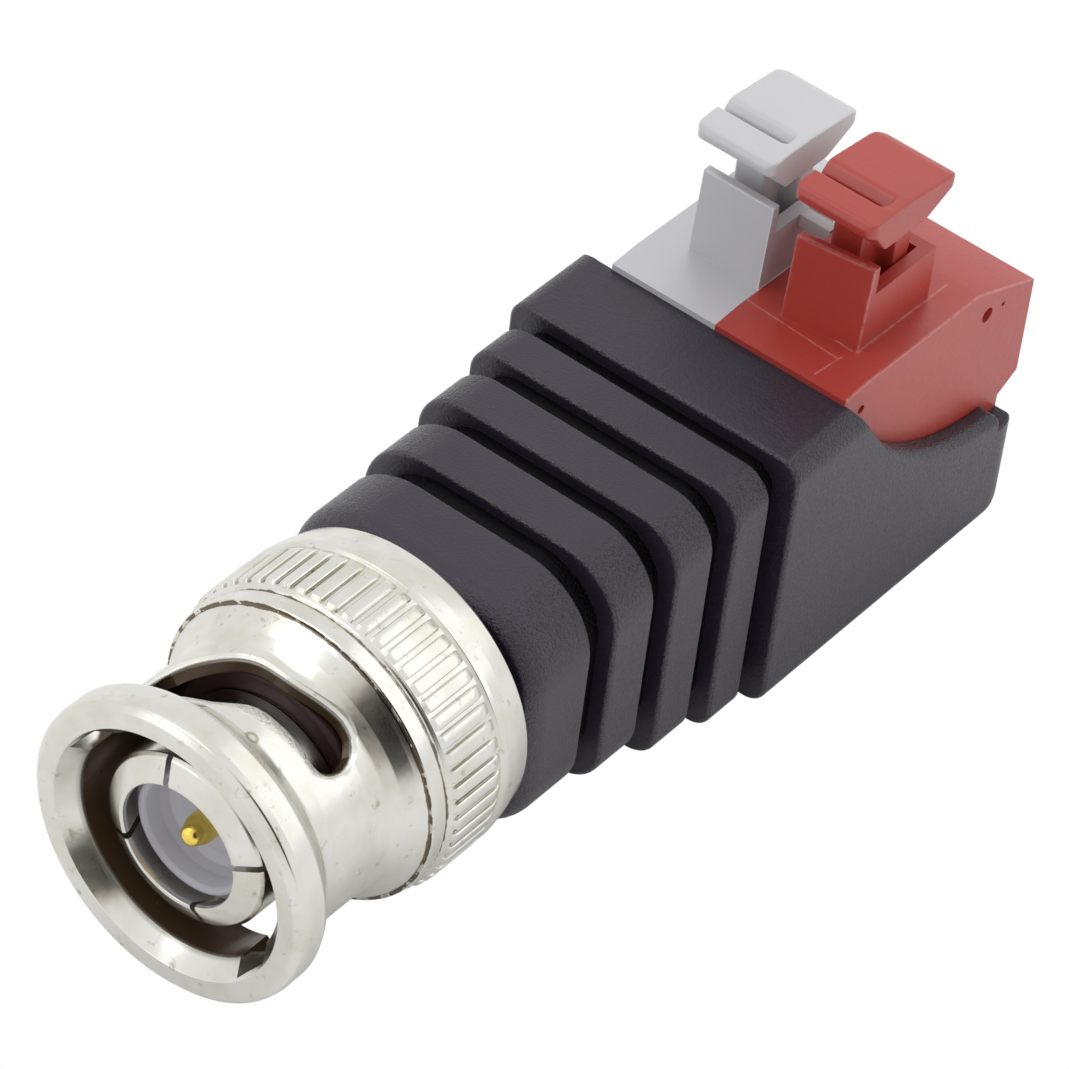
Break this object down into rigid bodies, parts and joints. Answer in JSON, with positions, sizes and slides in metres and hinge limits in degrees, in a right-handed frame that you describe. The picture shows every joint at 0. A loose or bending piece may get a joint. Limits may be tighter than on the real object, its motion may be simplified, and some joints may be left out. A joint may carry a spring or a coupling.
{
  "type": "bnc connector",
  "caption": "BNC plug with knurled bayonet coupling nut, black ribbed housing and a two-pole lever spring terminal, one lever red and one grey.",
  "frame": {"origin": "centre of the outer contact's front edge, on the plug's axis", "axes": "-Y along the plug's axis to the mating side, +Z towards the lever tops, +X towards the red pole"},
  "size_m": [0.0154, 0.0489, 0.0213],
  "materials": {
    "nickel": "bright nickel plate",
    "spring_steel": "satin",
    "gasket": "matte",
    "insulator": "waxy",
    "gold": "polished gold plate",
    "black_plastic": "fine grain",
    "red_plastic": "satin",
    "grey_plastic": "satin",
    "tinned_copper": "satin",
    "red_wire": "satin",
    "black_wire": "satin"
  },
  "bodies": {
    "plug": {"outer_contact": "nickel", "insulator": "insulator", "rear_bushing": "insulator", "centre_pin": "gold", "retaining_ring": "spring_steel", "sealing_gasket": "gasket", "wave_washer": "spring_steel", "housing": "black_plastic", "terminal_block_red": "red_plastic", "terminal_block_grey": "grey_plastic", "clamp_spring_red": "spring_steel", "clamp_spring_grey": "spring_steel", "contact_bar_red": "tinned_copper", "contact_bar_grey": "tinned_copper", "signal_wire": "red_wire", "ground_wire": "black_wire"},
    "slip": {"slip_washer": "spring_steel"},
    "nut": {"coupling_nut": "nickel"},
    "red_lever": {"lever_red": "red_plastic"},
    "grey_lever": {"lever_grey": "grey_plastic"}
  },
  "joints": [
    {"name": "nut_slide", "type": "slide", "parent": "plug", "child": "slip", "axis": [0, -1, 0], "range_m": [0, 0.0004], "stiffness_N_per_m": 8000, "deforming": ["wave_washer"]},
    {"name": "nut_turn", "type": "hinge", "parent": "slip", "child": "nut", "pos_m": [0, 0.004, 0], "axis": [0, 1, 0], "continuous": true},
    {"name": "red_lever_tilt", "type": "hinge", "parent": "plug", "child": "red_lever", "pos_m": [0.00325, 0.0391, 0.0076], "axis": [-1, 0, 0], "range_deg": [0, 11], "stiffness_Nm_per_rad": 0.05, "deforming": ["clamp_spring_red"]},
    {"name": "grey_lever_tilt", "type": "hinge", "parent": "plug", "child": "grey_lever", "pos_m": [-0.00215, 0.0395, 0.0076], "axis": [-1, 0, 0], "range_deg": [0, 11], "stiffness_Nm_per_rad": 0.05, "deforming": ["clamp_spring_grey"]}
  ]
}
